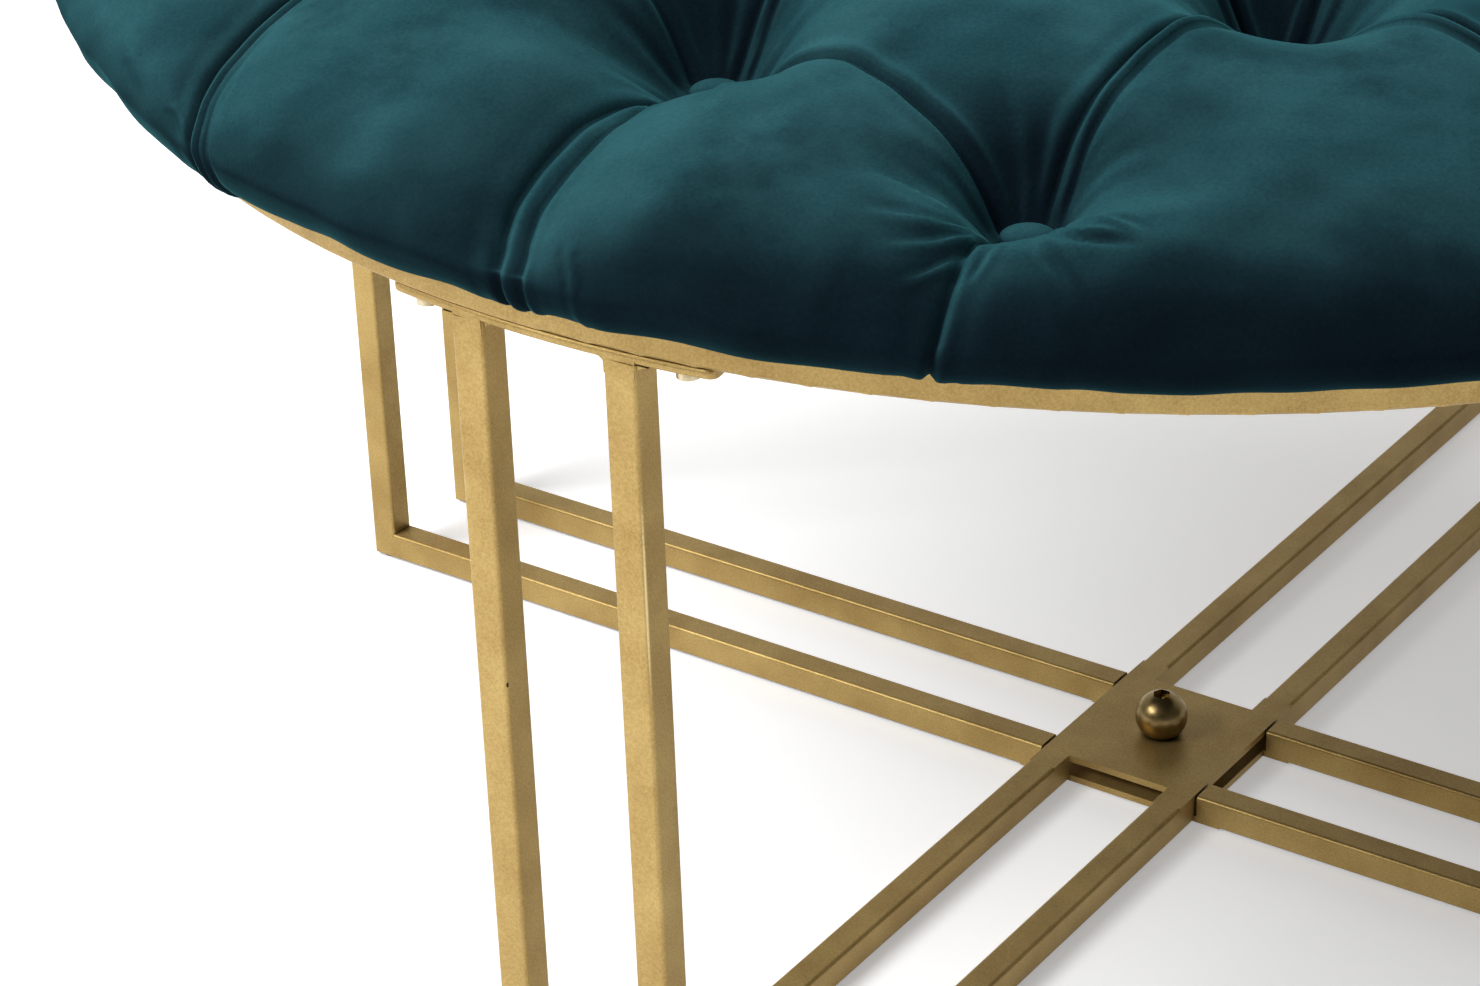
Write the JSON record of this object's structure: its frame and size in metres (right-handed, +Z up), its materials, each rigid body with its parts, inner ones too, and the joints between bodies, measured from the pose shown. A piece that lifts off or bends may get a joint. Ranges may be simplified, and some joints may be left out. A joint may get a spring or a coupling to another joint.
{
  "type": "round tufted ottoman",
  "caption": "round ottoman with a deep-tufted velvet cushion on a ring and crossed pairs of square-tube legs",
  "frame": {"origin": "on the floor, at the middle of the crossing and under the middle of the ring", "axes": "+Z up; the right and left arms of the floor frame run along X, the front and back arms along Y"},
  "size_m": [0.8736, 0.8736, 0.4738],
  "materials": {
    "velvet": "short-pile teal velvet with a soft sheen",
    "button_velvet": "the same teal velvet over buttons",
    "twine": "waxed upholstery twine",
    "foam": "cut polyurethane foam with wadding",
    "plywood": "raw plywood",
    "insert_brass": "plain turned brass",
    "dust_cloth": "thin black non-woven cloth",
    "staple_steel": "galvanised staple wire",
    "gold_paint": "satin gold metallic paint with a fine sparkle",
    "screw_steel": "gold plated pan-head screws",
    "polished_brass": "polished brass",
    "nut_steel": "plain steel weld nut",
    "pad_rubber": "black rubber"
  },
  "bodies": {
    "root": {"velvet_cover": "velvet", "seat_buttons": "button_velvet", "button_twines": "twine", "foam_pad": "foam", "seat_board": "plywood", "board_inserts": "insert_brass", "dust_cover": "dust_cloth", "cover_staples": "staple_steel", "seat_ring": "gold_paint", "strip_front": "gold_paint", "strip_right": "gold_paint", "strip_back": "gold_paint", "strip_left": "gold_paint", "strip_screws": "screw_steel", "leg_front_left": "gold_paint", "leg_front_right": "gold_paint", "leg_right_front": "gold_paint", "leg_right_back": "gold_paint", "leg_back_right": "gold_paint", "leg_back_left": "gold_paint", "leg_left_back": "gold_paint", "leg_left_front": "gold_paint", "stretcher_front_left": "gold_paint", "stretcher_front_right": "gold_paint", "stretcher_right_front": "gold_paint", "stretcher_right_back": "gold_paint", "stretcher_back_right": "gold_paint", "stretcher_back_left": "gold_paint", "stretcher_left_back": "gold_paint", "stretcher_left_front": "gold_paint", "upper_plate": "gold_paint", "lower_plate": "gold_paint", "tube_end_caps": "gold_paint", "ball_bolt": "polished_brass", "weld_nut": "nut_steel", "foot_pads": "pad_rubber"}
  },
  "joints": []
}
